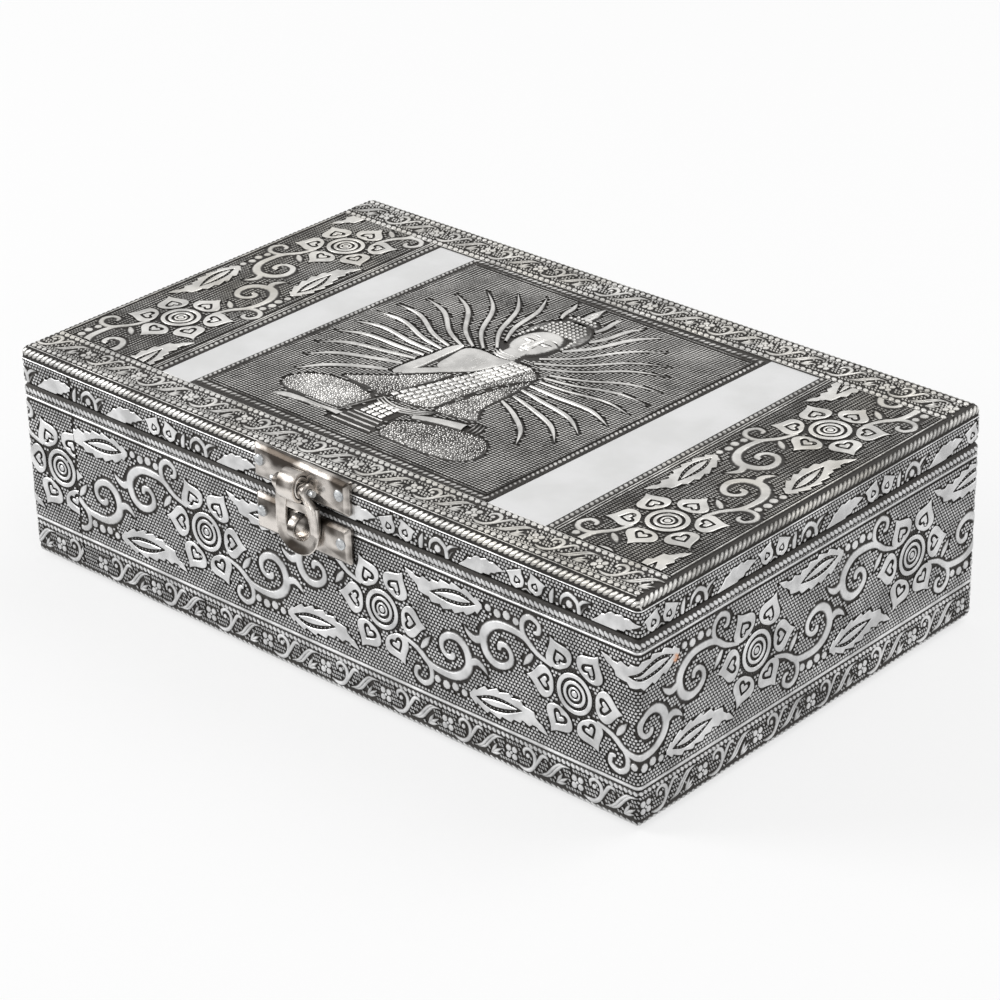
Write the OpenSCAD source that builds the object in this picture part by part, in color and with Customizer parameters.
// Hinged rosary box: boards clad in thin embossed metal sheets, velvet lined,
// with a stamped hasp clasp in front and two butt hinges behind.
// Origin: centre of the underside. +X right, -Y front, +Z up. Millimetres.

/* [Case] */
// Length over the raised pattern, left to right
case_l = 203; // [185:1:240]
// Depth over the raised pattern, front to back
case_w = 127; // [112:1:150]
// Height from the felt to the top of the raised pattern
case_h = 59.2; // [52:0.2:80]
// Height of the lid at its side
lid_h = 9.9; // [9.4:0.1:14]
// Gap between the closed lid and the base
seam_gap = 0.4; // [0.3:0.1:0.8]

/* [Boards] */
// Thickness of the four walls of base and lid
wall_t = 5; // [4:0.5:7]
// Thickness of the bottom board
bottom_t = 4; // [3:0.5:6]
// Thickness of the lid's top board
lid_t = 3.5; // [3:0.1:3.8]

/* [Sheets] */
// Thickness of the metal sheet
sheet_t = 0.4; // [0.3:0.05:0.6]
// Height of the embossed pattern over its ground
relief_h = 0.5; // [0.3:0.1:0.8]
// Gap where two sheets meet
sheet_gap = 0.15; // [0.1:0.05:0.3]
// Distance of the upright seams from the corners
seam_x = 18.8; // [12:0.2:30]
// Radius of the upright corners
corner_r = 1.2; // [0.8:0.1:2]
// Radius of the base's lower edge
foot_r = 2.6; // [1.5:0.1:4]
// Radius of the base's upper edge
rim_r = 0.8; // [0.5:0.1:1.2]
// Radius of the lid's upper edge
lid_r = 1.5; // [1:0.1:1.8]
// Width of the sheet folded under the base
fold_w = 9; // [6:0.5:14]
// Height of the top sheets' turned-down edge
lip_h = 3; // [2.6:0.1:4]

/* [Side pattern] */
// Distance from one rosette of the base to the next
rosette_pitch = 59.1; // [56:0.1:66]
// First rosette of the front sheet, from the left corner
front_phase = 66; // [60:0.5:72]
// First rosette of the rear sheet, from its own left corner
rear_phase = 45.5; // [40:0.5:52]
// First flower of the front sheet's border, from the left corner
front_flower = 26; // [20:0.5:38]
// First flower of the rear sheet's border, from its own left corner
rear_flower = 20; // [20:0.5:38]
// Middle of the scroll band, above the underside
band_mid = 28.8; // [26:0.1:34]
// Height of the scroll band
band_h = 33; // [30:0.5:36]
// Distance from one flower of the lower border to the next
flower_pitch = 19.85; // [18:0.05:24]
// Middle of the flower border, above the underside
flower_z = 6.3; // [6:0.1:7]

/* [Lid side] */
// Distance from one pair of petals to the next
lid_wall_pitch = 39.4; // [34:0.1:46]
// First pair of petals on the long walls
long_wall_phase = 12; // [0:0.5:30]
// First pair of petals on the short walls
short_wall_phase = 30; // [0:0.5:38]

/* [Lid top] */
// Depth of the flower strips along the front and back edges
strip_w = 13.4; // [11:0.1:16]
// Width of the rosette panels at the ends
panel_w = 38.6; // [36:0.1:44]
// Mean width of the plain strips beside the picture
plain_w = 13.7; // [10:0.1:18]
// First flower of the front strip, from its left end
front_strip_flower = 18; // [0:0.5:20]
// First flower of the back strip, from its left end
back_strip_flower = 13; // [0:0.5:20]
// First rosette of the left panel, from its back end
left_panel_phase = 16.5; // [0:0.5:60]
// First rosette of the right panel, from its back end
right_panel_phase = 22; // [0:0.5:60]

/* [Picture] */
// How far the picture lies left of the lid's middle
picture_left = 2.5; // [0:0.1:5]
// How far the picture is turned clockwise, in degrees
picture_turn = 1.6; // [0:0.1:3]
// How far the figure lies right of the picture's middle
figure_right = 1.2; // [-2:0.1:3]
// How far the figure lies behind the picture's middle
figure_back = 1.2; // [-1:0.1:2]
// Width of the rope frame round the picture
frame_w = 2.2; // [1.5:0.1:3]
// Height of the figure's face, hands and beads over the ground
figure_h = 0.9; // [0.6:0.1:1.2]
// Distance from one bead of the stole to the next across it
bead_across = 1.9; // [1.6:0.1:2.4]
// Distance from one bead of the stole to the next along it
bead_along = 2.2; // [1.8:0.1:2.8]
// Distance from one curl of the hair to the next
curl_pitch = 1.4; // [1.2:0.1:2]

/* [Lining] */
// Thickness of the velvet lining
velvet_t = 0.6; // [0.4:0.1:1]
// Thickness of the felt under the base
felt_t = 0.8; // [0.5:0.1:1.5]

/* [Clasp] */
// Width of the two clasp plates
plate_l = 31; // [28:0.5:36]
// Height of the lid's clasp plate
lid_plate_h = 9; // [8:0.1:9.2]
// Height of the base's clasp plate
base_plate_h = 10.6; // [9:0.1:13]
// Gap between the lid's clasp plate and the seam
lid_plate_up = 0.3; // [0.2:0.1:0.6]
// Gap between the seam and the base's clasp plate
base_plate_down = 1.8; // [1.4:0.1:3]
// How far the plates stand out
plate_out = 1.8; // [1.4:0.1:2.2]
// Thickness of the clasp's sheet metal
plate_t = 0.8; // [0.6:0.1:1]
// Distance between the two rivets of a plate
rivet_pitch = 26; // [23:0.5:30]
// Radius of a rivet's head
rivet_r = 1.5; // [1.2:0.1:1.8]
// Outer radius of the rolled barrel
barrel_r = 3.5; // [3:0.1:3.8]
// Width of the rolled barrel
barrel_w = 5.3; // [4.6:0.1:6]
// Radius of the clasp's hinge pin
clasp_pin_r = 0.8; // [0.6:0.05:1]
// Width of the hasp
hasp_w = 14; // [13:0.5:18]
// Width of each leg of the hasp
leg_w = 3.1; // [2.6:0.1:3.6]
// Length of the hasp below its pin
hasp_drop = 15.8; // [15.2:0.1:18]
// How far the staple stands out from its plate
staple_out = 3.8; // [3.2:0.1:4.5]
// Height of the staple
staple_h = 6.4; // [5.6:0.1:6.8]
// Width of the staple
staple_w = 2.2; // [1.8:0.1:2.8]

/* [Back hinges] */
// Distance of the hinges' middles from the ends of the case
hinge_inset = 39.5; // [32:0.5:52]
// Length of a hinge
hinge_l = 20; // [16:1:26]
// Height of a hinge leaf beside its pin
leaf_h = 7.4; // [6.6:0.1:7.6]
// Thickness of a hinge leaf
leaf_t = 0.8; // [0.6:0.1:1]
// Radius of a hinge knuckle
knuckle_r = 1.6; // [1.5:0.05:1.8]
// Radius of a hinge pin
hinge_pin_r = 0.8; // [0.6:0.05:0.9]
// Radius of a tack's shank
tack_r = 0.6; // [0.5:0.05:0.7]
// Radius of a tack's head
tack_head_r = 1.2; // [1:0.1:1.4]
// Height of a tack's head
tack_head_h = 0.45; // [0.3:0.05:0.6]
// Distance between the two tacks of a leaf
tack_pitch = 12; // [9:0.5:13]

/* [Clearances] */
// Radial clearance of a pin in its moving part
pin_clear = 0.05; // [0.02:0.01:0.1]
// Side clearance between the parts of a hinge
side_clear = 0.25; // [0.15:0.05:0.4]
// Radial clearance of a shank in its hole
shank_clear = 0.1; // [0.05:0.05:0.2]
// Clearance between the hasp and the base's plate
hasp_clear = 0.35; // [0.3:0.05:0.6]
// Clearance at the edges of the lining and felt
lining_clear = 0.1; // [0.05:0.05:0.3]

/* [Hidden] */

nickel = [0.78, 0.74, 0.68];
embossed = [0.80, 0.80, 0.79];
polished = [0.88, 0.89, 0.90];
board = [0.66, 0.52, 0.36];
velvet = [0.35, 0.04, 0.07];
felt = [0.10, 0.10, 0.11];

arc_steps = 4;          // flat steps in a rounded edge
root = 0.15;            // how deep the pattern is rooted in its sheet
spread = 0.01;          // growth that fuses touching motifs
tiny = 0.01;            // least radius of a sharp corner
over = 1;               // how far a cutting solid runs past a face

ground_l = case_l - 2 * relief_h;
ground_w = case_w - 2 * relief_h;
ground_top = case_h - relief_h;
lid_z = case_h - lid_h;
base_z = lid_z - seam_gap;
lip_z = case_h - lip_h;
core_l = ground_l - 2 * sheet_t;
core_w = ground_w - 2 * sheet_t;
core_bottom = felt_t + sheet_t;
core_top = base_z - sheet_t;
lid_core_top = ground_top - sheet_t;
lid_core_bottom = lid_z + sheet_t;
cavity_l = core_l - 2 * wall_t;
cavity_w = core_w - 2 * wall_t;
floor_z = core_bottom + bottom_t;
ceiling_z = lid_core_top - lid_t;

// ---------- shared shapes ----------

function arc(cx, cy, r, from, to, steps = arc_steps) = [
    for (i = [0 : steps])
        let (a = from + (to - from) * i / steps)
        [cx + r * cos(a), cy + r * sin(a)]
];

function catmull(a, b, c, d, t) =
    0.5 * (2 * b + (c - a) * t + (2 * a - 5 * b + 4 * c - d) * t * t
    + (3 * b - a - 3 * c + d) * t * t * t);

// Smooth curve through points of [x, y, half width]
function spline(p, steps) = [
    for (i = [0 : len(p) - 2])
        for (k = [0 : i == len(p) - 2 ? steps : steps - 1])
            catmull(p[max(i - 1, 0)], p[i], p[i + 1], p[min(i + 2, len(p) - 1)], k / steps)
];

function ribbon_side(q, side) = [
    for (i = [0 : len(q) - 1])
        let (
            a = q[max(i - 1, 0)],
            b = q[min(i + 1, len(q) - 1)],
            run = [b[0] - a[0], b[1] - a[1]],
            along = run / norm(run)
        )
        [q[i][0] - side * along[1] * q[i][2], q[i][1] + side * along[0] * q[i][2]]
];

function reversed(p) = [for (i = [len(p) - 1 : -1 : 0]) p[i]];

// A raised stroke whose width follows the points' third value
module ribbon(path, steps = 2) {
    q = spline(path, steps);
    polygon(concat(ribbon_side(q, 1), reversed(ribbon_side(q, -1))));
}

module rounded_rect(l, h, r_low, r_high) {
    lo = max(r_low, tiny);
    hi = max(r_high, tiny);
    polygon(concat(
        arc(l / 2 - hi, h - hi, hi, 0, 90),
        arc(hi - l / 2, h - hi, hi, 90, 180),
        arc(lo - l / 2, lo, lo, 180, 270),
        arc(l / 2 - lo, lo, lo, 270, 360)
    ));
}

// A box with its own radius at the upright, lower and upper edges
module block(l, w, z0, z1, r_side, r_low, r_high) {
    intersection() {
        translate([0, -w / 2, z0])
            linear_extrude(z1 - z0)
                rounded_rect(l, w, r_side, r_side);
        translate([0, w / 2, z0])
            rotate([90, 0, 0])
                linear_extrude(w)
                    rounded_rect(l, z1 - z0, r_low, r_high);
        translate([-l / 2, 0, z0])
            rotate([90, 0, 90])
                linear_extrude(l)
                    rounded_rect(w, z1 - z0, r_low, r_high);
    }
}

module box_between(a, b) {
    translate(a)
        cube(b - a);
}

// The inside of the box between two heights
module cavity(z0, z1) {
    box_between(
        [-cavity_l / 2, -cavity_w / 2, z0],
        [cavity_l / 2, cavity_w / 2, z1]
    );
}

// ---------- boards ----------

module base_core() {
    block(core_l, core_w, core_bottom, core_top,
        corner_r - sheet_t, foot_r - sheet_t, rim_r - sheet_t);
}

module lid_core() {
    block(core_l, core_w, lid_core_bottom, lid_core_top,
        corner_r - sheet_t, rim_r - sheet_t, lid_r - sheet_t);
}

// side is -1 for the front, 1 for the back
module long_wall_zone(side, z0, z1) {
    y0 = side < 0 ? -case_w : cavity_w / 2;
    box_between([-case_l, y0, z0], [case_l, y0 + case_w - cavity_w / 2, z1]);
}

// side is -1 for the left, 1 for the right
module short_wall_zone(side, z0, z1) {
    x0 = side < 0 ? -case_l : cavity_l / 2;
    box_between([x0, -cavity_w / 2, z0], [x0 + case_l - cavity_l / 2, cavity_w / 2, z1]);
}

module base_bottom_board() color(board)
    box_between(
        [-cavity_l / 2, -cavity_w / 2, core_bottom],
        [cavity_l / 2, cavity_w / 2, floor_z]
    );

module base_long_board(side) color(board)
    difference() {
        intersection() {
            base_core();
            long_wall_zone(side, 0, case_h);
        }
        if (side < 0) rivet_holes(base_rivet_z);
        if (side > 0) tack_holes(base_tack_z);
    }

module base_short_board(side) color(board)
    intersection() {
        base_core();
        short_wall_zone(side, 0, case_h);
    }

module lid_top_board() color(board)
    difference() {
        intersection() {
            lid_core();
            box_between([-case_l, -case_w, ceiling_z], [case_l, case_w, case_h]);
        }
        rivet_holes(lid_rivet_z);
    }

module lid_long_rail(side) color(board)
    difference() {
        intersection() {
            lid_core();
            long_wall_zone(side, 0, ceiling_z);
        }
        if (side < 0) rivet_holes(lid_rivet_z);
        if (side > 0) tack_holes(lid_tack_z);
    }

module lid_short_rail(side) color(board)
    intersection() {
        lid_core();
        short_wall_zone(side, 0, ceiling_z);
    }

// ---------- motifs of the pattern, drawn flat ----------

// Six-petalled rosette with a heart pressed into every petal
module rosette() {
    difference() {
        circle(5.4, $fn = 20);
        circle(3.9, $fn = 16);
    }
    circle(2.9, $fn = 14);
    for (k = [0 : 5])
        rotate(60 * k)
            difference() {
                ribbon([[6.2, 0, 1.2], [7.2, 0, 3], [9.2, 0, 4.1], [11.4, 0, 3], [12.7, 0, 1.3], [13.9, 0, 0.05]], 1);
                ribbon([[7.4, 0, 0.1], [8.8, 0, 1.3], [10.1, 0, 1.9], [10.9, 0, 1.1]], 1);
            }
}

// Vine that leaves the rosette and rolls into a volute
vine = [
    [6.5, -4.7, 0.6], [11, -6.2, 0.8], [14.6, -8.8, 1], [18.6, -9.6, 1.1], [22.7, -9.3, 1.3],
    [25.9, -7.3, 1.4], [27.3, -4.4, 1.5], [26.4, 0.2, 1.4], [23.8, 1.9, 1.2], [20.9, 1.6, 1],
    [18.9, -0.4, 0.9], [18.9, -3.3, 0.8], [20.4, -4.7, 0.8], [22.1, -4.7, 0.8], [22.7, -3.3, 0.9]
];
vine_tail = [[26.8, -4.4, 1.3], [29.6, -2.9, 1.2], [31.9, -3.9, 0.7], [33.1, -5.3, 0.1]];
side_curl = [
    [12.3, -6.8, 0.8], [15.1, -9.8, 1], [15.2, -13.1, 1], [12.9, -14.8, 0.9],
    [10.4, -13.6, 0.8], [10.8, -11.3, 0.8]
];
bud = [[12.3, -5.6, 0.5], [13.8, -3.6, 1.1], [15.2, -1.6, 0.1]];
beads = [[17.2, -11.9], [20.1, -12.5], [23, -12.3], [25.6, -12.2]];

// Long leaf with toothed edges and a slit along its middle
module toothed_leaf() {
    difference() {
        union() {
            ribbon([[27.4, -12.2, 0.6], [30.2, -11.9, 2.4], [34.8, -11.5, 3.6], [39, -11.1, 3.3],
                [43.6, -10.9, 2.4], [47.6, -12, 1.3], [51.2, -14, 0.1]], 1);
            for (t = [[31.4, -9.2], [35.2, -7.8], [39.4, -7.8], [43.6, -8.6]])
                translate(t)
                    rotate(-20)
                        polygon([[-1.6, -0.8], [1.6, -0.8], [1.8, 0.8]]);
            for (t = [[33, -14.9], [37.4, -14.5], [41.6, -13.6], [45.8, -13]])
                translate(t)
                    rotate(20)
                        polygon([[-1.6, 0.8], [1.8, -0.8], [1.6, 0.8]]);
        }
        ribbon([[29.4, -12, 0.1], [33.6, -11.9, 1.4], [38.4, -11.3, 1.3], [43.4, -10.5, 0.1]], 1);
    }
}

module half_scroll() {
    ribbon(vine);
    ribbon(vine_tail, 1);
    ribbon(side_curl, 1);
    ribbon(bud, 1);
    for (p = beads)
        translate(p)
            circle(1.4, $fn = 8);
    toothed_leaf();
}

module scroll_unit() {
    rosette();
    half_scroll();
    rotate(180)
        half_scroll();
}

// A stretch of the scroll band; first is where its first rosette lies
module scroll_run(length, height, first) {
    copies = ceil(length / rosette_pitch) + 1;
    intersection() {
        translate([0, -height / 2])
            square([length, height]);
        for (k = [-1 : copies])
            translate([first + k * rosette_pitch, 0])
                scroll_unit();
    }
}

// Small flower, curl with its boss and split leaf of the running borders
module border_unit() {
    for (k = [0 : 3])
        rotate(45 + 90 * k)
            translate([1.25, 0])
                circle(1.05, $fn = 7);
    ribbon([[1.9, -2.3, 0.15], [4.6, -2.8, 0.55], [6.9, -0.9, 0.6], [6.8, 2, 0.55],
        [5, 2.9, 0.5], [3.7, 1.9, 0.4]], 1);
    translate([5, 0.6])
        circle(0.9, $fn = 7);
    ribbon([[6.9, -1.2, 0.4], [8.5, 1.5, 0.5], [10.4, 2.8, 0.45], [11.2, 1.8, 0.1]], 1);
    ribbon([[8.7, -2.4, 0.2], [11.4, -1.2, 0.75], [14, 1.6, 0.8], [17.2, 2.7, 0.1]], 1);
    ribbon([[13.6, -2.4, 0.15], [15.4, -1.4, 0.5], [17, -0.4, 0.1]], 1);
}

module border_run(length, first) {
    copies = ceil(length / flower_pitch) + 1;
    intersection() {
        translate([0, -3])
            square([length, 6]);
        for (k = [-1 : copies])
            translate([first + k * flower_pitch, 0])
                border_unit();
    }
}

// ---------- embossed sheets of the base ----------

// Raises a flat drawing out of a wall. face 0 is the front, 1 right, 2 back, 3 left;
// the drawing starts at the wall's left corner as seen from outside.
module on_wall(face) {
    turn = 90 * face;
    run = face % 2 == 0 ? ground_l : ground_w;
    out = face % 2 == 0 ? ground_w / 2 : ground_l / 2;
    rotate([0, 0, turn])
        translate([-run / 2, root - out, 0])
            rotate([90, 0, 0])
                linear_extrude(relief_h + root)
                    offset(delta = spread)
                        children();
}

module plain_lines(from, to) {
    for (z = [[base_z - 2.6, base_z - rim_r], [base_z - 4, base_z - 3.2],
        [band_mid - band_h / 2 - 1.5, band_mid - band_h / 2 - 0.4]])
        translate([from, z[0]])
            square([to - from, z[1] - z[0]]);
}

// The pattern of one wall from one place along it to another
module wall_pattern(from, to, first_rosette, first_flower) {
    plain_lines(from, to);
    translate([from, band_mid])
        scroll_run(to - from, band_h, first_rosette - from);
    translate([from, flower_z])
        border_run(to - from, first_flower - from);
}

// Where a run with this pitch and start has its first motif after a distance
function after(start, pitch, distance) =
    let (d = distance - start)
    start + ceil(d / pitch) * pitch - distance;

module base_shell() {
    difference() {
        block(ground_l, ground_w, felt_t, base_z, corner_r, foot_r, rim_r);
        base_core();
        cavity(floor_z, case_h);
        box_between(
            [fold_w - case_l / 2, fold_w - case_w / 2, -over],
            [case_l / 2 - fold_w, case_w / 2 - fold_w, core_bottom + over]
        );
    }
}

// One half of the base's cladding: a long wall from the seam, a short wall
// and the last stretch of the opposite wall
module base_sheet(phase, flower_phase) {
    seam = seam_x - relief_h;
    turn_in = corner_r + 0.3;
    intersection() {
        base_shell();
        translate([0, 0, -over])
            linear_extrude(case_h)
                polygon([
                    [seam - ground_l / 2 + sheet_gap / 2, -case_w],
                    [case_l, -case_w],
                    [case_l, case_w],
                    [ground_l / 2 - seam + sheet_gap / 2, case_w],
                    [ground_l / 2 - seam + sheet_gap / 2, 0],
                    [seam - ground_l / 2 + sheet_gap / 2, 0]
                ]);
    }
    on_wall(0)
        wall_pattern(seam + sheet_gap, ground_l - turn_in, phase, flower_phase);
    on_wall(1)
        wall_pattern(turn_in, ground_w - turn_in,
            after(phase, rosette_pitch, case_l), after(flower_phase, flower_pitch, case_l));
    on_wall(2)
        wall_pattern(turn_in, seam - sheet_gap,
            after(phase, rosette_pitch, case_l + case_w),
            after(flower_phase, flower_pitch, case_l + case_w));
}

module base_sheet_front_right() color(embossed)
    difference() {
        base_sheet(front_phase, front_flower);
        rivet_holes(base_rivet_z);
        tack_holes(base_tack_z);
    }

module base_sheet_back_left() color(embossed)
    difference() {
        rotate([0, 0, 180])
            base_sheet(rear_phase, rear_flower);
        rivet_holes(base_rivet_z);
        tack_holes(base_tack_z);
    }

// ---------- embossed sheets of the lid ----------

module lid_shell() {
    difference() {
        block(ground_l, ground_w, lid_z, ground_top, corner_r, rim_r, lid_r);
        lid_core();
        cavity(0, ceiling_z);
    }
}

lid_band_low = lid_z + rim_r;
lid_band_high = lip_z - 0.3;
lid_line_h = 0.5;

// The lid's side shows a pattern that is cut off by the sheet's lower edge
module lid_wall_pattern(run, first) {
    turn_in = corner_r + 0.3;
    for (z = [lid_band_low, lid_band_high - lid_line_h])
        translate([turn_in, z])
            square([run - 2 * turn_in, lid_line_h]);
    intersection() {
        translate([turn_in, lid_band_low + lid_line_h / 2])
            square([run - 2 * turn_in, lid_band_high - lid_band_low - lid_line_h]);
        for (k = [-1 : ceil(run / lid_wall_pitch)])
            translate([first + k * lid_wall_pitch, lid_band_low])
                lid_wall_unit();
    }
}

// Pair of petals, scroll with its boss and a long leaf
module lid_wall_unit() {
    for (lean = [[-2.6, 112], [2.6, 68]])
        translate([lean[0], 0])
            rotate(lean[1])
                ribbon([[0, 0, 1], [1.8, 0, 2.1], [3.6, 0, 1.9], [4.9, 0, 0.3]], 1);
    ribbon([[7.3, -0.6, 0.7], [7.4, 1.8, 0.9], [8.2, 4, 0.2]], 1);
    ribbon([[10, 0.3, 0.3], [10.6, 2.4, 0.6], [12.6, 3.7, 0.8], [14.8, 2.6, 0.8], [15.4, -1, 0.8]], 1);
    translate([12.6, 1.2])
        circle(1.2, $fn = 8);
    ribbon([[15.2, 1.7, 0.6], [16.6, 3.2, 0.6], [19, 3.8, 0.2]], 1);
    ribbon([[17.8, -0.9, 0.2], [21, 0.2, 1], [24.4, 1.6, 1.9], [28, 2.3, 1.7], [30.6, 2.6, 0.9],
        [32.8, 2.6, 0.1]], 1);
}

module lid_wall_sheet() color(embossed)
    difference() {
        union() {
            intersection() {
                lid_shell();
                box_between([-case_l, -case_w, 0], [case_l, case_w, lip_z - sheet_gap]);
            }
            for (face = [0 : 3])
                on_wall(face)
                    lid_wall_pattern(face % 2 == 0 ? ground_l : ground_w,
                        face % 2 == 0 ? long_wall_phase : short_wall_phase);
        }
        rivet_holes(lid_rivet_z);
        tack_holes(lid_tack_z);
    }

module lid_top_zone(x0, x1, y0, y1) {
    intersection() {
        lid_shell();
        box_between([x0, y0, lip_z], [x1, y1, case_h]);
    }
}

module on_lid(height = relief_h) {
    translate([0, 0, ground_top - root])
        linear_extrude(height + root)
            offset(delta = spread)
                children();
}

// Limits of the lid's sheets, from the middle of the lid
strip_y = case_w / 2 - strip_w;
panel_x = case_l / 2 - panel_w;
picture_x = panel_x - plain_w;
lid_flat_x = ground_l / 2 - lid_r;
lid_flat_y = ground_w / 2 - lid_r;

// side is -1 for the front strip, 1 for the back strip
module lid_strip(side, first) {
    near = min(side * (strip_y + sheet_gap), side * case_w);
    far = max(side * (strip_y + sheet_gap), side * case_w);
    mid = side * (strip_y + lid_flat_y) / 2;
    lid_top_zone(-case_l, case_l, near, far);
    on_lid() {
        translate([-lid_flat_x, mid])
            border_run(2 * lid_flat_x, first);
        for (y = [-1, 1])
            translate([-lid_flat_x, mid + y * (lid_flat_y - strip_y) / 2 - (y > 0 ? 1.6 : -0.6)])
                square([2 * lid_flat_x, 1]);
    }
}

module lid_front_strip() color(embossed)
    lid_strip(-1, front_strip_flower);

module lid_back_strip() color(embossed)
    lid_strip(1, back_strip_flower);

// side is -1 for the left panel, 1 for the right panel
module lid_panel(side, first) {
    near = min(side * (panel_x + sheet_gap), side * case_l);
    far = max(side * (panel_x + sheet_gap), side * case_l);
    run = 2 * (strip_y - 0.6);
    mid = side * (panel_x + lid_flat_x) / 2;
    width = lid_flat_x - panel_x;
    lid_top_zone(near, far, -strip_y, strip_y);
    on_lid() {
        translate([mid, run / 2])
            rotate(-90)
                scroll_run(run, width - 6.5, first);
        for (x = [-1, 1])
            for (line = [[1, 0.9], [2.4, 0.5]])
                translate([mid + x * (width / 2 - line[0]) - line[1] / 2, -run / 2])
                    square([line[1], run]);
    }
}

module lid_left_panel() color(embossed)
    lid_panel(-1, left_panel_phase);

module lid_right_panel() color(embossed)
    lid_panel(1, right_panel_phase);

// Outline of the picture's sheet; its sides lean with the picture between the strips
module picture_outline(grow = 0) {
    lean = tan(picture_turn) * strip_y;
    polygon([for (c = [[-1, -1], [1, -1], [1, 1], [-1, 1]])
        [c[0] * (picture_x + grow) - picture_left + c[1] * lean, c[1] * (strip_y + min(grow, 0))]
    ]);
}

// side is -1 for the left strip, 1 for the right strip
module lid_plain_strip(side) color(polished)
    difference() {
        lid_top_zone(min(0, side * panel_x), max(0, side * panel_x), -strip_y, strip_y);
        translate([0, 0, lip_z - over])
            linear_extrude(case_h)
                picture_outline(sheet_gap);
        box_between([-side * over, -case_w, 0], [0, case_w, case_h]);
    }

// ---------- picture in the middle of the lid ----------

// Each ray from where it leaves the figure to its tip, from the top down
left_rays = [
    [-7.2, 34, -10.6, 44], [-8.5, 15.1, -19, 41.8], [-7.2, 10.7, -26.5, 38.9],
    [-9.5, 8.3, -33.2, 34.6], [-12.2, 7.5, -38.5, 28.3], [-14.9, 6.2, -42, 21.3],
    [-16.9, 3.9, -45.2, 14], [-17.1, 1.5, -45.6, 7.2], [-17.6, -1, -45.8, -0.7],
    [-18, -3.8, -45.2, -7.9], [-18.1, -6.7, -44.3, -15.7], [-18.5, -10.8, -41, -22.8],
    [-18.7, -15.6, -36.7, -30.2]
];
right_rays = [
    [4.8, 33.3, 5.2, 44], [7.7, 27.9, 12.7, 43.1], [6.3, 19.7, 20.3, 42.7],
    [5.1, 12.8, 26.6, 36.7], [5.9, 10.1, 33.3, 30.8], [9, 8.8, 36.5, 26.1],
    [13.5, 7.5, 40.2, 18], [13.5, 5.5, 42.4, 10.5], [14.3, 3.2, 43.3, 3.4],
    [14, 0.1, 42.9, -4.2], [14.1, -3, 40.4, -11.8], [14.9, -6.7, 39.2, -18.7],
    [14.7, -10.5, 33.3, -25.7]
];
ray_w = 0.8;

// Rays sweep out in S curves from behind the figure
module rays(list, side) {
    for (k = [0 : len(list) - 1]) {
        start = [list[k][0], list[k][1]];
        tip = [list[k][2], list[k][3]];
        along = (tip - start) / norm(tip - start);
        up = side * [-along[1], along[0]];
        share = k / (len(list) - 1);
        sway = norm(tip - start) / 28;
        near = start + 0.3 * (tip - start) - up * sway * (0.8 - 2.8 * share * share);
        far = start + 0.68 * (tip - start) + up * sway * (0.9 + 1.7 * share);
        ribbon([
            [start[0], start[1], ray_w / 2], [near[0], near[1], ray_w / 2],
            [far[0], far[1], ray_w / 2], [tip[0], tip[1], 0.05]
        ], 3);
    }
}

// A smooth closed outline through the points
module patch(p) {
    n = len(p);
    polygon([for (i = [0 : n - 1]) for (t = [0, 0.5])
        catmull(p[(i + n - 1) % n], p[i], p[(i + 1) % n], p[(i + 2) % n], t)]);
}

// Robe over both sides of the trunk, with the fold beside the left arm
module robe() {
    patch([[2, 7.6], [9, 7], [12.6, 3.6], [9.4, -2], [7, -7.5], [5.6, -15], [4.4, -24], [-1, -26.2],
        [-6.9, -25.6], [-5.4, -15], [-1.6, -2]]);
    patch([[13.2, 2.4], [13.8, -6], [14, -15.7], [16, -19.7], [17.6, -22.6], [11, -24.4], [5.6, -24.4],
        [7, -15], [8.8, -6.6], [11, -0.8]]);
    patch([[-5.4, -7], [-11.6, -13], [-16.2, -17.4], [-22.9, -22.9], [-24.5, -25.2], [-16, -26],
        [-9, -26.6], [-7.6, -20], [-5, -11]]);
}

// Crossed legs, with the sash that hangs down between them
module legs() {
    patch([[-33.8, -36.9], [-34.2, -32.4], [-30.6, -28.6], [-24.2, -26.6], [-16.7, -26.9], [-10.4, -28.9],
        [-11.2, -34], [-12.6, -38.3], [-21.7, -38.8], [-29.9, -39]]);
    patch([[3.4, -34], [10.8, -30.6], [18.3, -28.6], [25.8, -28.3], [30.4, -32.3], [31.3, -36.8],
        [28.6, -41], [20, -42.6], [10, -42.8], [4.4, -42], [3.2, -38]]);
    for (x = [19.6, 20.8, 22])
        ribbon([[x - 0.8, -23.4, 0.3], [x, -26, 0.35], [x, -28.6, 0.2]], 1);
}

module sash_cloth() {
    polygon([[-8.2, -29.6], [2, -29.4], [1.2, -36.8], [3.4, -43.4], [-11.8, -43.6], [-9.6, -36.8]]);
    ribbon([[-8, -26.6, 0.3], [-9.6, -30.4, 0.35], [-11.2, -36.2, 0.3], [-12.6, -42.4, 0.1]], 1);
}

module sash() {
    for (row = [[-36.9, 9.4, 0.5], [-38.5, 10.4, 0.9], [-40.6, 11.6, 0.9], [-42.8, 13, 0.5]])
        translate([-3.9 - row[1] / 2, row[0] - row[2] / 2])
            square([row[1], row[2]]);
    for (i = [0 : 3])
        for (j = [0 : 2])
            translate([-6.4 + bead_across * i - 0.1 * j, -31 - bead_along * j])
                square([bead_across - 0.6, bead_along - 0.7], center = true);
    for (k = [0 : 2])
        ribbon([[-8.6, -27.2 - k, 0.3], [-2.4, -28.9 - k, 0.35], [4, -27 - k, 0.3], [7.4, -24.8 - 0.6 * k, 0.1]], 1);
}

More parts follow.
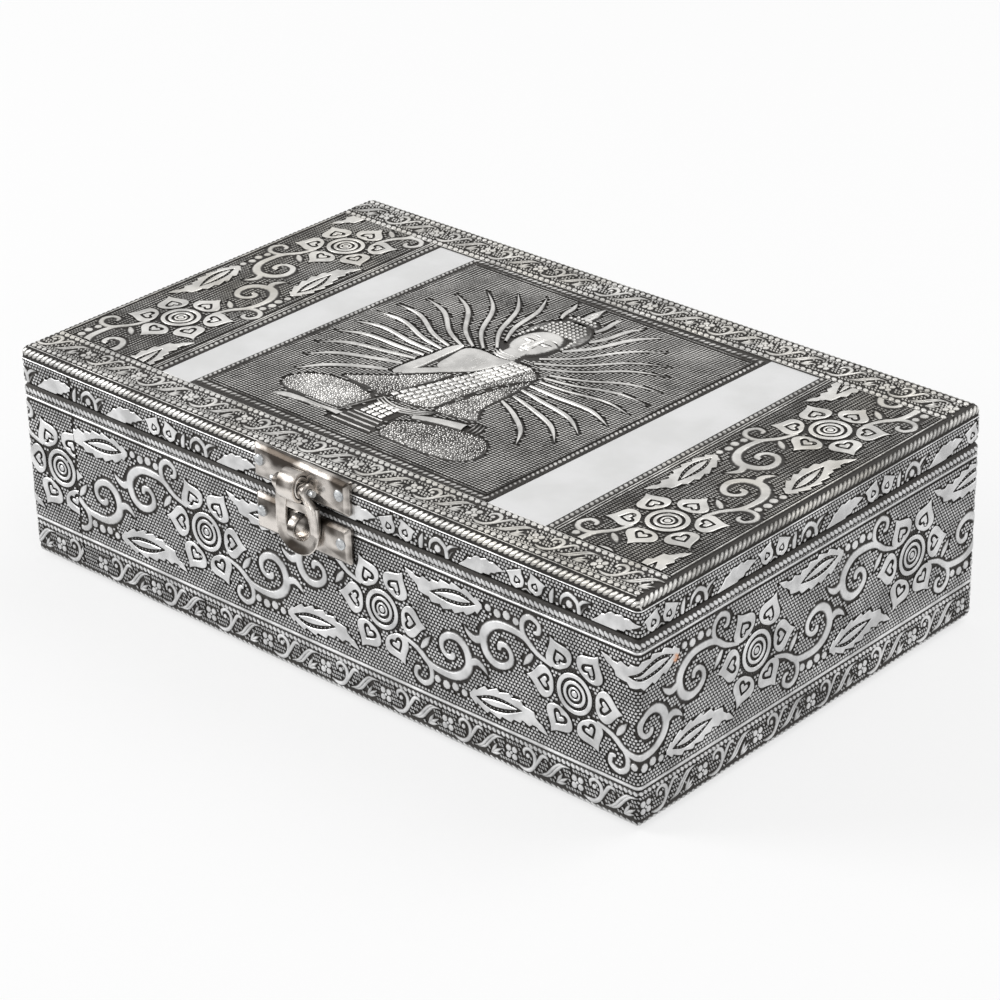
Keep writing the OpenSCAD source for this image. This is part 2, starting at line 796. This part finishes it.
// Bare trunk, right arm with the raised hand, and left forearm
module bare_parts() {
    patch([[-13.2, 5.6], [-9.5, 7.6], [-2.6, 7.2], [1.6, 7.8], [0, 2.2], [-2.6, -3.4], [-6.2, -5.6],
        [-9.2, -6.8], [-12, -5.6], [-12.9, 0]]);
    ribbon([[-14.4, 6, 1], [-15.3, 3.4, 2], [-15.4, -2, 2.1], [-15.8, -8, 2.5], [-16.4, -13.4, 2.3], [-17, -15.8, 0.9]], 1);
    ribbon([[-14.4, -12.6, 2.2], [-11, -9.4, 2], [-6.4, -5.2, 1.6], [-4, -2.8, 1.4]], 1);
    ribbon([[-2.3, 12.6, 3.9], [-2.4, 9.6, 3.9], [-2.5, 8, 5.4]], 1);
    ribbon([[17.9, -26.7, 2.1], [10.8, -28.2, 1.7], [4.6, -30.5, 1.2]], 1);
    patch([[-30.5, -43.2], [-28.5, -40.6], [-22, -39.9], [-13.6, -40.2], [-14, -41.2], [-22, -41.8]]);
}

module raised_hand() {
    patch([[-7, -2.6], [-7.2, 0.4], [-5.4, 1.4], [-3.4, 0.6], [-3.2, -2.2], [-5, -3.8]]);
    for (k = [0 : 3])
        ribbon([[-6.8 + 1.1 * k, 0, 0.4], [-7 + 1.15 * k, 2.4, 0.4], [-6.9 + 1.1 * k, 3.6 + 0.9 * sin(60 * k), 0.25]], 1);
    ribbon([[-7, -2.2, 0.5], [-8, 0, 0.45], [-7.8, 1.6, 0.3]], 1);
}

// Stole of square beads from the left shoulder to the lap
module stole() {
    for (j = [0 : 14])
        for (i = [0 : 3])
            translate([4.9 - 0.0122 * j * j - 0.48 * j + bead_across * (i - 1.5) * (0.85 + 0.02 * j), 6.4 - bead_along * j])
                rotate(-12)
                    square([bead_across - 0.7, bead_along - 0.6], center = true);
}

head_x = -1.9;
head_z = 19.4;
head_w = 13;
head_h = 16.6;
hair_line = 26;

// Oval face; brow, eyes, nose and mouth stand at the usual shares of its height
module face_oval() {
    intersection() {
        translate([head_x, head_z])
            scale([head_w / head_h, 1])
                circle(head_h / 2, $fn = 32);
        translate([head_x - head_w, 0])
            square([2 * head_w, hair_line]);
    }
}

module face_features() {
    translate([head_x, head_z]) {
        for (side = [-1, 1]) {
            ribbon([[side * 0.8, 1.7, 0.2], [side * 2, 2.5, 0.25], [side * 3.6, 2.6, 0.2], [side * 5, 1.6, 0.1]], 1);
            ribbon([[side * 1.2, 0.2, 0.1], [side * 2.2, -0.3, 0.4], [side * 3.6, -0.3, 0.4], [side * 4.6, 0.2, 0.1]], 1);
        }
        ribbon([[0, 1.6, 0.35], [0, -1.2, 0.5], [0, -2.6, 0.95], [0, -3, 0.5]], 1);
        ribbon([[-1.7, -4.7, 0.1], [-0.7, -4.5, 0.3], [0, -4.6, 0.25], [0.7, -4.5, 0.3], [1.7, -4.7, 0.1]], 1);
        ribbon([[-1.2, -5.4, 0.1], [0, -5.6, 0.3], [1.2, -5.4, 0.1]], 1);
    }
}

module hair() {
    difference() {
        translate([head_x + 0.4, 26.4])
            scale([0.92, 1])
                circle(9.3, $fn = 28);
        translate([head_x, head_z])
            scale([head_w / head_h, 0.8])
                circle(head_h / 2, $fn = 32);
        translate([-15, 10])
            square([30, 8]);
    }
    translate([-1.6, 36])
        scale([1, 0.4])
            circle(5.4, $fn = 18);
    patch([[-3.5, 37.6], [-4.3, 41.3], [-3.1, 42.2], [-2.4, 46.4], [-1.2, 42.7], [-0.1, 41], [-0.5, 37.6]]);
}

module curls() {
    for (j = [0 : 5])
        for (i = [-5 : 5])
            if (norm([i, j + 1.5]) < 6.6)
                translate([head_x + 0.4 + curl_pitch * i, hair_line + 0.7 + curl_pitch * j])
                    circle(0.45, $fn = 5);
    for (i = [-3 : 3])
        translate([-1.6 + curl_pitch * i, 36.4])
            circle(0.5, $fn = 5);
}

module lid_picture_panel() color(embossed) {
    line_w = 0.5;
    intersection() {
        lid_shell();
        translate([0, 0, lip_z])
            linear_extrude(case_h)
                picture_outline();
    }
    on_lid()
        difference() {
            picture_outline(-sheet_gap - spread);
            picture_outline(-sheet_gap - frame_w);
        }
    on_lid()
        difference() {
            picture_outline(-frame_w - line_w);
            picture_outline(-frame_w - 2 * line_w);
        }
    on_picture(relief_h) {
        rays(left_rays, -1);
        rays(right_rays, 1);
        hair();
        robe();
        legs();
        sash_cloth();
    }
    on_picture((relief_h + figure_h) / 2) {
        bare_parts();
        face_oval();
    }
    on_picture(figure_h) {
        face_features();
        curls();
        raised_hand();
        stole();
        sash();
        for (k = [0 : 2])
            ribbon([[-5.8, 10.2 - k, 0.25], [-2.4, 9.6 - k, 0.3], [1, 10.2 - k, 0.25]], 1);
    }
}

// Raises a drawing out of the picture's ground
module on_picture(height) {
    translate([-picture_left, 0, 0])
        rotate(-picture_turn)
            translate([figure_right, figure_back, 0])
                on_lid(height)
                    children();
}

// ---------- lining and felt ----------

module base_floor_lining() color(velvet)
    box_between(
        [lining_clear - cavity_l / 2, lining_clear - cavity_w / 2, floor_z],
        [cavity_l / 2 - lining_clear, cavity_w / 2 - lining_clear, floor_z + velvet_t]
    );

module wall_lining(z0, z1) {
    translate([0, 0, z0])
        linear_extrude(z1 - z0)
            difference() {
                square([cavity_l, cavity_w], center = true);
                square([cavity_l - 2 * velvet_t, cavity_w - 2 * velvet_t], center = true);
            }
}

module base_wall_lining() color(velvet)
    wall_lining(floor_z + velvet_t, base_z - sheet_t);

module lid_top_lining() color(velvet)
    box_between(
        [lining_clear - cavity_l / 2, lining_clear - cavity_w / 2, ceiling_z - velvet_t],
        [cavity_l / 2 - lining_clear, cavity_w / 2 - lining_clear, ceiling_z]
    );

module lid_wall_lining() color(velvet)
    wall_lining(lid_z + sheet_t, ceiling_z - velvet_t);

module underside_felt() color(felt)
    box_between(
        [foot_r + 1.5 - case_l / 2, foot_r + 1.5 - case_w / 2, 0],
        [case_l / 2 - foot_r - 1.5, case_w / 2 - foot_r - 1.5, felt_t]
    );

// ---------- clasp ----------

front_y = -case_w / 2;
lid_plate_z = lid_z + lid_plate_up;
base_plate_top = base_z - base_plate_down;
base_plate_z = base_plate_top - base_plate_h;
lid_rivet_z = lid_plate_z + lid_plate_h / 2 + 0.6;
base_rivet_z = base_plate_z + base_plate_h / 2;
rivet_shank_r = 0.8;
rivet_head = 0.7;
clasp_axis_y = front_y - barrel_r - 0.3;
clasp_axis_z = lid_plate_z + lid_plate_h - barrel_r - 0.4;
bevel = 1.1;
hasp_back_y = front_y - plate_out - hasp_clear;
eye_r = 1.75;
eye_w = 2.6;

module place_front(z) {
    translate([0, front_y, z])
        rotate([90, 0, 0])
            children();
}

module rivet_holes(z) {
    for (x = [-1, 1])
        translate([x * rivet_pitch / 2, 0, 0])
            place_front(z)
                translate([0, 0, -wall_t + 1.2])
                    cylinder(r = rivet_shank_r + shank_clear, h = wall_t + 5, $fn = 12);
}

module rivets(z) {
    for (x = [-1, 1])
        translate([x * rivet_pitch / 2, 0, 0])
            place_front(z) {
                translate([0, 0, 1.3 - wall_t])
                    cylinder(r = rivet_shank_r, h = wall_t - 1.2 + plate_out, $fn = 24);
                translate([0, 0, plate_out])
                    rotate_extrude($fn = 32)
                        polygon(concat([[0, 0]], arc(0, 0, rivet_r, 0, 60, 5), [[0, rivet_head]]));
            }
}

// A pressed pan: bevelled edges in front, open towards the box
module pan(l, h) {
    difference() {
        hull() {
            translate([-l / 2, 0, 0])
                cube([l, h, plate_out - bevel * 0.6]);
            translate([bevel - l / 2, bevel, 0])
                cube([l - 2 * bevel, h - 2 * bevel, plate_out]);
        }
        hull() {
            translate([plate_t - l / 2, plate_t, -over])
                cube([l - 2 * plate_t, h - 2 * plate_t, over + plate_out - bevel * 0.6 - plate_t / 2]);
            translate([bevel + plate_t / 2 - l / 2, bevel + plate_t / 2, -over])
                cube([l - 2 * bevel - plate_t, h - 2 * bevel - plate_t, over + plate_out - plate_t]);
        }
    }
}

// The sheet of the lid's plate, rolled outwards into an open spiral round the pin
module barrel_profile() {
    start = 20;
    turn = 600;
    steps = 50;
    wind = barrel_r - clasp_pin_r - plate_t;
    path = [for (i = [0 : steps]) [start + turn * i / steps, barrel_r - wind * i / steps]];
    polygon(concat(
        [for (p = path) p[1] * [cos(p[0]), sin(p[0])]],
        reversed([for (p = path) (p[1] - plate_t) * [cos(p[0]), sin(p[0])]])
    ));
}

module clasp_lid_plate() color(nickel)
    difference() {
        union() {
            place_front(lid_plate_z)
                pan(plate_l, lid_plate_h);
            translate([-barrel_w / 2, clasp_axis_y, clasp_axis_z])
                rotate([90, 0, 90])
                    linear_extrude(barrel_w)
                        barrel_profile();
        }
        place_front(0)
            for (x = [-1, 1])
                translate([x * rivet_pitch / 2, lid_rivet_z, -over])
                    cylinder(r = rivet_shank_r + shank_clear, h = case_w, $fn = 24);
        translate([-barrel_w, clasp_axis_y, clasp_axis_z])
            rotate([0, 90, 0])
                cylinder(r = clasp_pin_r + pin_clear, h = 2 * barrel_w, $fn = 32);
    }

module clasp_pin() color(nickel)
    translate([-hasp_w / 2 + 0.1, clasp_axis_y, clasp_axis_z])
        rotate([0, 90, 0])
            cylinder(r = clasp_pin_r, h = hasp_w - 0.2, $fn = 32);

// Middle of the hasp's round lower end, below its pin
hasp_round_z = 0.72 * (hasp_w / 2) - hasp_drop;

// Outline of the hasp's frame, with its round lower end; y runs up
module hasp_outline(inset, top) {
    r = hasp_w / 2 - inset;
    polygon(concat(
        [[-r, top]],
        arc(0, hasp_round_z, r, 180, 360, 14),
        [[r, top]]
    ));
}

module clasp_hasp() color(nickel) {
    arm_x = barrel_w / 2 + side_clear;
    drop = clasp_axis_z - (base_plate_top + 0.6);
    difference() {
        union() {
            // frame with its window
            translate([0, hasp_back_y, clasp_axis_z])
                rotate([90, 0, 0])
                    linear_extrude(plate_t)
                        difference() {
                            hasp_outline(0, 2.6 - drop);
                            difference() {
                                hasp_outline(leg_w, 0.2 - drop);
                                translate([-hasp_w, 0.2 - drop])
                                    square([2 * hasp_w, 2 * drop]);
                            }
                        }
            // arms up to the pin, each rolled into an eye
            for (side = [-1, 1])
                translate([side > 0 ? arm_x : -arm_x - eye_w, 0, clasp_axis_z])
                    rotate([90, 0, 90])
                        linear_extrude(eye_w) {
                            translate([clasp_axis_y, 0])
                                circle(eye_r, $fn = 32);
                            polygon([
                                [clasp_axis_y - eye_r, 0], [clasp_axis_y - eye_r + plate_t + 0.3, 0],
                                [hasp_back_y, 2 - drop], [hasp_back_y, 1.2 - drop],
                                [hasp_back_y - plate_t, 1.2 - drop], [hasp_back_y - plate_t, 2.4 - drop]
                            ]);
                        }
            // lip curled outwards at the lower end, to lift it by
            translate([0, hasp_back_y, clasp_axis_z + hasp_round_z])
                rotate([90, 0, 0])
                    rotate_extrude(angle = 124, start = 208, $fn = 64)
                        translate([hasp_w / 2 - 0.4, 0])
                            polygon(concat(
                                arc(-0.6, 1.4, 1.4, -90, 0, 5),
                                reversed(arc(-0.6, 1.4, 0.6, -90, 0, 5))
                            ));
        }
        translate([-hasp_w, clasp_axis_y, clasp_axis_z])
            rotate([0, 90, 0])
                cylinder(r = clasp_pin_r + pin_clear, h = 2 * hasp_w, $fn = 32);
    }
}

module clasp_base_plate() color(nickel)
    difference() {
        place_front(base_plate_z)
            pan(plate_l, base_plate_h);
        place_front(0)
            for (x = [-1, 1])
                translate([x * rivet_pitch / 2, base_rivet_z, -over])
                    cylinder(r = rivet_shank_r + shank_clear, h = case_w, $fn = 24);
    }

module clasp_lid_rivets() color(nickel)
    rivets(lid_rivet_z);

module clasp_base_rivets() color(nickel)
    rivets(base_rivet_z);

// The staple fills the window of the closed hasp, which sits low on it
staple_mid = clasp_axis_z + hasp_round_z - (hasp_w / 2 - leg_w) + hasp_clear + staple_h / 2;

// Half-round loop that stands through the hasp's window
module clasp_staple() color(nickel)
    translate([-staple_w / 2, front_y - plate_out, staple_mid])
        rotate([90, 0, 90])
            linear_extrude(staple_w)
                difference() {
                    scale([staple_out / (staple_h / 2), 1])
                        circle(staple_h / 2, $fn = 40);
                    scale([(staple_out - 0.9) / (staple_h / 2 - 0.9), 1])
                        circle(staple_h / 2 - 0.9, $fn = 40);
                    translate([0, -staple_h])
                        square(2 * staple_h);
                }

// ---------- back hinges ----------

hinge_y = case_w / 2 + knuckle_r;
hinge_z = lid_z - seam_gap / 2;
hinge_bore_r = hinge_pin_r + pin_clear;
leaf_gap = knuckle_r + 0.2;
base_tack_z = hinge_z - leaf_gap - (leaf_h - leaf_gap) / 2 - 0.3;
lid_tack_z = hinge_z + leaf_gap + (leaf_h - leaf_gap) / 2 + 0.1;
hinge_pitch = case_l - 2 * hinge_inset;
knuckle_l = hinge_l / 3;

module at_tacks(z) {
    for (side = [-1, 1])
        for (x = [-1, 1])
            translate([side * hinge_pitch / 2 + x * tack_pitch / 2, case_w / 2, z])
                rotate([-90, 0, 0])
                    children();
}

module tack_holes(z) {
    at_tacks(z)
        translate([0, 0, -wall_t + 1.1])
            cylinder(r = tack_r + shank_clear, h = wall_t + 5, $fn = 12);
}

module tacks(z) {
    at_tacks(z) {
        translate([0, 0, 1.2 - wall_t])
            cylinder(r = tack_r, h = wall_t - 1.2 + leaf_t, $fn = 20);
        translate([0, 0, leaf_t])
            cylinder(r1 = tack_head_r, r2 = tack_head_r * 2 / 3, h = tack_head_h, $fn = 24);
    }
}

module knuckle(x0, x1) {
    translate([x0, hinge_y, hinge_z])
        rotate([0, 90, 0])
            cylinder(r = knuckle_r, h = x1 - x0, $fn = 32);
}

module hinge_bore(x) {
    translate([x - hinge_l, hinge_y, hinge_z])
        rotate([0, 90, 0])
            cylinder(r = hinge_bore_r, h = 2 * hinge_l, $fn = 32);
}

module hinge_lid_leaf(x) color(nickel)
    difference() {
        union() {
            box_between(
                [x - hinge_l / 2, case_w / 2, hinge_z + leaf_gap],
                [x + hinge_l / 2, case_w / 2 + leaf_t, hinge_z + leaf_h]
            );
            knuckle(x - knuckle_l / 2 + side_clear, x + knuckle_l / 2 - side_clear);
            box_between(
                [x - knuckle_l / 2 + side_clear, case_w / 2, hinge_z],
                [x + knuckle_l / 2 - side_clear, case_w / 2 + leaf_t, hinge_z + leaf_h - 1]
            );
        }
        hinge_bore(x);
        tack_holes(lid_tack_z);
    }

module hinge_base_leaf(x) color(nickel)
    difference() {
        union() {
            box_between(
                [x - hinge_l / 2, case_w / 2, hinge_z - leaf_h],
                [x + hinge_l / 2, case_w / 2 + leaf_t, hinge_z - leaf_gap]
            );
            for (side = [-1, 1]) {
                from = side < 0 ? x - hinge_l / 2 : x + knuckle_l / 2;
                knuckle(from, from + knuckle_l);
                box_between(
                    [from, case_w / 2, hinge_z + 1 - leaf_h],
                    [from + knuckle_l, case_w / 2 + leaf_t, hinge_z]
                );
            }
        }
        hinge_bore(x);
        tack_holes(base_tack_z);
    }

module hinge_pin(x) color(nickel)
    translate([x - hinge_l / 2, hinge_y, hinge_z])
        rotate([0, 90, 0])
            cylinder(r = hinge_pin_r, h = hinge_l, $fn = 32);

module hinge_lid_tacks() color(nickel)
    tacks(lid_tack_z);

module hinge_base_tacks() color(nickel)
    tacks(base_tack_z);

// ---------- one line for each piece ----------

base_bottom_board();
base_long_board(-1);  // base_front_board
base_long_board(1);  // base_back_board
base_short_board(-1);  // base_left_board
base_short_board(1);  // base_right_board
base_sheet_front_right();
base_sheet_back_left();
base_floor_lining();
base_wall_lining();
underside_felt();
lid_top_board();
lid_long_rail(-1);  // lid_front_rail
lid_long_rail(1);  // lid_back_rail
lid_short_rail(-1);  // lid_left_rail
lid_short_rail(1);  // lid_right_rail
lid_wall_sheet();
lid_front_strip();
lid_back_strip();
lid_left_panel();
lid_right_panel();
lid_plain_strip(-1);  // lid_left_plain_strip
lid_plain_strip(1);  // lid_right_plain_strip
lid_picture_panel();
lid_top_lining();
lid_wall_lining();
clasp_lid_plate();
clasp_lid_rivets();
clasp_pin();
clasp_hasp();
clasp_base_plate();
clasp_base_rivets();
clasp_staple();
hinge_lid_leaf(-hinge_pitch / 2);  // hinge_lid_leaf_left
hinge_lid_leaf(hinge_pitch / 2);  // hinge_lid_leaf_right
hinge_base_leaf(-hinge_pitch / 2);  // hinge_base_leaf_left
hinge_base_leaf(hinge_pitch / 2);  // hinge_base_leaf_right
hinge_pin(-hinge_pitch / 2);  // hinge_pin_left
hinge_pin(hinge_pitch / 2);  // hinge_pin_right
hinge_lid_tacks();
hinge_base_tacks();
